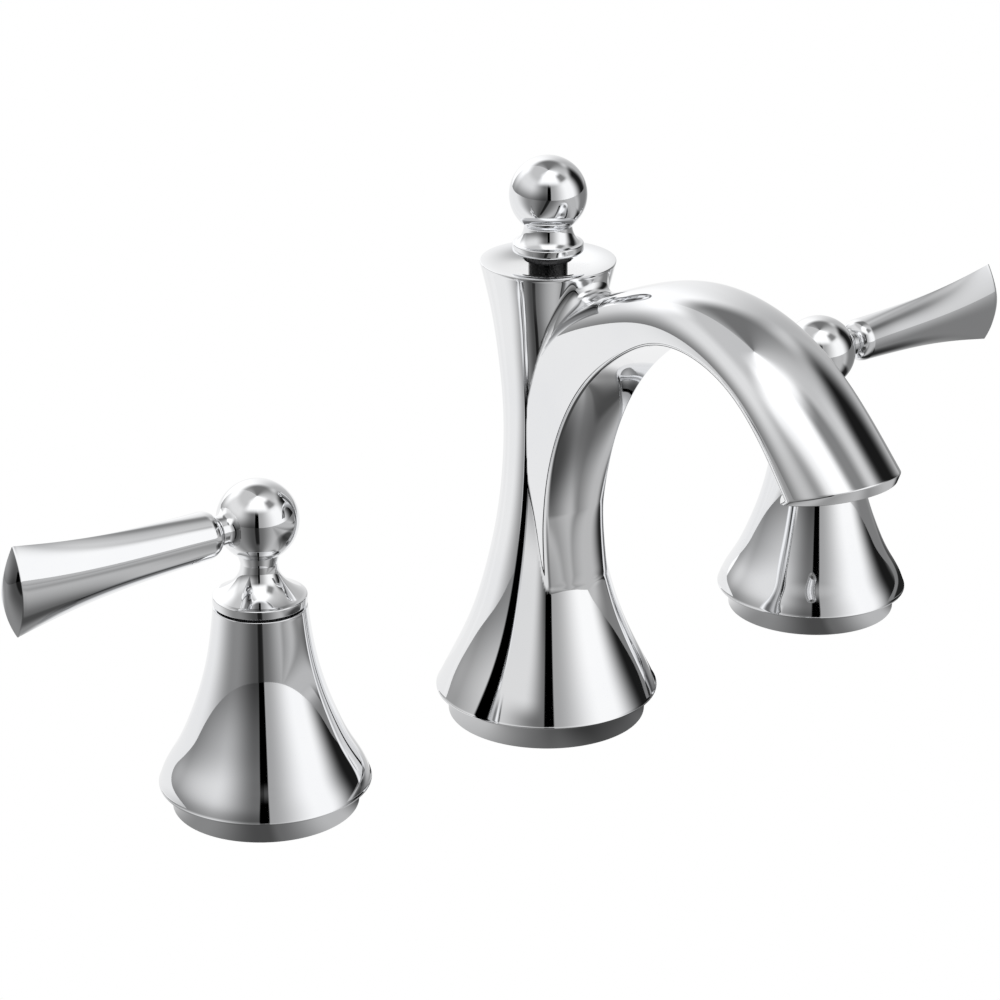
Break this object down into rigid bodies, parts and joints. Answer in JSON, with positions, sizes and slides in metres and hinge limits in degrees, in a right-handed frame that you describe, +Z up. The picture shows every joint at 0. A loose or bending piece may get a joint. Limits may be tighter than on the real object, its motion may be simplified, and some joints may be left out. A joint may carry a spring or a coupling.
{
  "type": "widespread bathroom faucet",
  "caption": "Deck-mounted basin faucet with an arched spout on a flared column, a lift rod for the drain, and separate hot and cold lever handles on bell bases.",
  "frame": {"origin": "centre of the spout's seat on the deck, on the deck's surface", "axes": "+Z up out of the deck, +X along the row of handles to the right-hand handle, -Y from the spout's column towards the user, the way the spout points"},
  "size_m": [0.3556, 0.1544, 0.2776],
  "materials": {
    "chrome": "polished",
    "brass": "machined",
    "stainless": "brushed",
    "rubber": "matte",
    "black_plastic": "satin",
    "white_plastic": "satin",
    "ceramic": "ground"
  },
  "bodies": {
    "root": {"spout_body": "chrome", "spout_base_ring": "chrome", "spout_deck_gasket": "rubber", "spout_shank": "brass", "spout_mounting_washer": "rubber", "spout_mounting_nut": "brass", "mixing_tee": "brass", "rod_sleeve": "brass", "rod_sleeve_o_ring": "rubber", "rod_bushing": "black_plastic", "aerator_housing": "white_plastic", "aerator_screen": "stainless", "aerator_gasket": "rubber", "left_handle_base_ring": "chrome", "left_handle_deck_gasket": "rubber", "left_handle_deck_nut": "brass", "left_handle_mounting_washer": "rubber", "left_handle_mounting_nut": "brass", "left_valve_body": "brass", "left_bell_escutcheon": "chrome", "left_cartridge_seal": "rubber", "left_fixed_ceramic_disc": "ceramic", "left_cartridge_housing": "black_plastic", "left_bonnet_nut": "brass", "left_glide_ring": "black_plastic", "right_handle_base_ring": "chrome", "right_handle_deck_gasket": "rubber", "right_handle_deck_nut": "brass", "right_handle_mounting_washer": "rubber", "right_handle_mounting_nut": "brass", "right_valve_body": "brass", "right_bell_escutcheon": "chrome", "right_cartridge_seal": "rubber", "right_fixed_ceramic_disc": "ceramic", "right_cartridge_housing": "black_plastic", "right_bonnet_nut": "brass", "right_glide_ring": "black_plastic"},
    "lift_rod_body": {"lift_rod": "chrome", "lift_knob": "chrome"},
    "left_handle": {"left_moving_ceramic_disc": "ceramic", "left_cartridge_stem": "brass", "left_handle_adapter": "brass", "left_handle_hub": "chrome", "left_hub_screw": "stainless", "left_lever": "chrome", "left_lever_screw": "stainless"},
    "right_handle": {"right_moving_ceramic_disc": "ceramic", "right_cartridge_stem": "brass", "right_handle_adapter": "brass", "right_handle_hub": "chrome", "right_hub_screw": "stainless", "right_lever": "chrome", "right_lever_screw": "stainless"}
  },
  "joints": [
    {"name": "left_handle_turn", "type": "hinge", "parent": "root", "child": "left_handle", "pos_m": [-0.0944, 0.0041, 0.0799], "axis": [0, 0, 1], "range_deg": [0, 90]},
    {"name": "right_handle_turn", "type": "hinge", "parent": "root", "child": "right_handle", "pos_m": [0.1088, 0.0041, 0.0799], "axis": [0, 0, 1], "range_deg": [-90, 0]},
    {"name": "lift_rod_slide", "type": "slide", "parent": "root", "child": "lift_rod_body", "axis": [0, 0, 1], "range_m": [0, 0.028]}
  ]
}
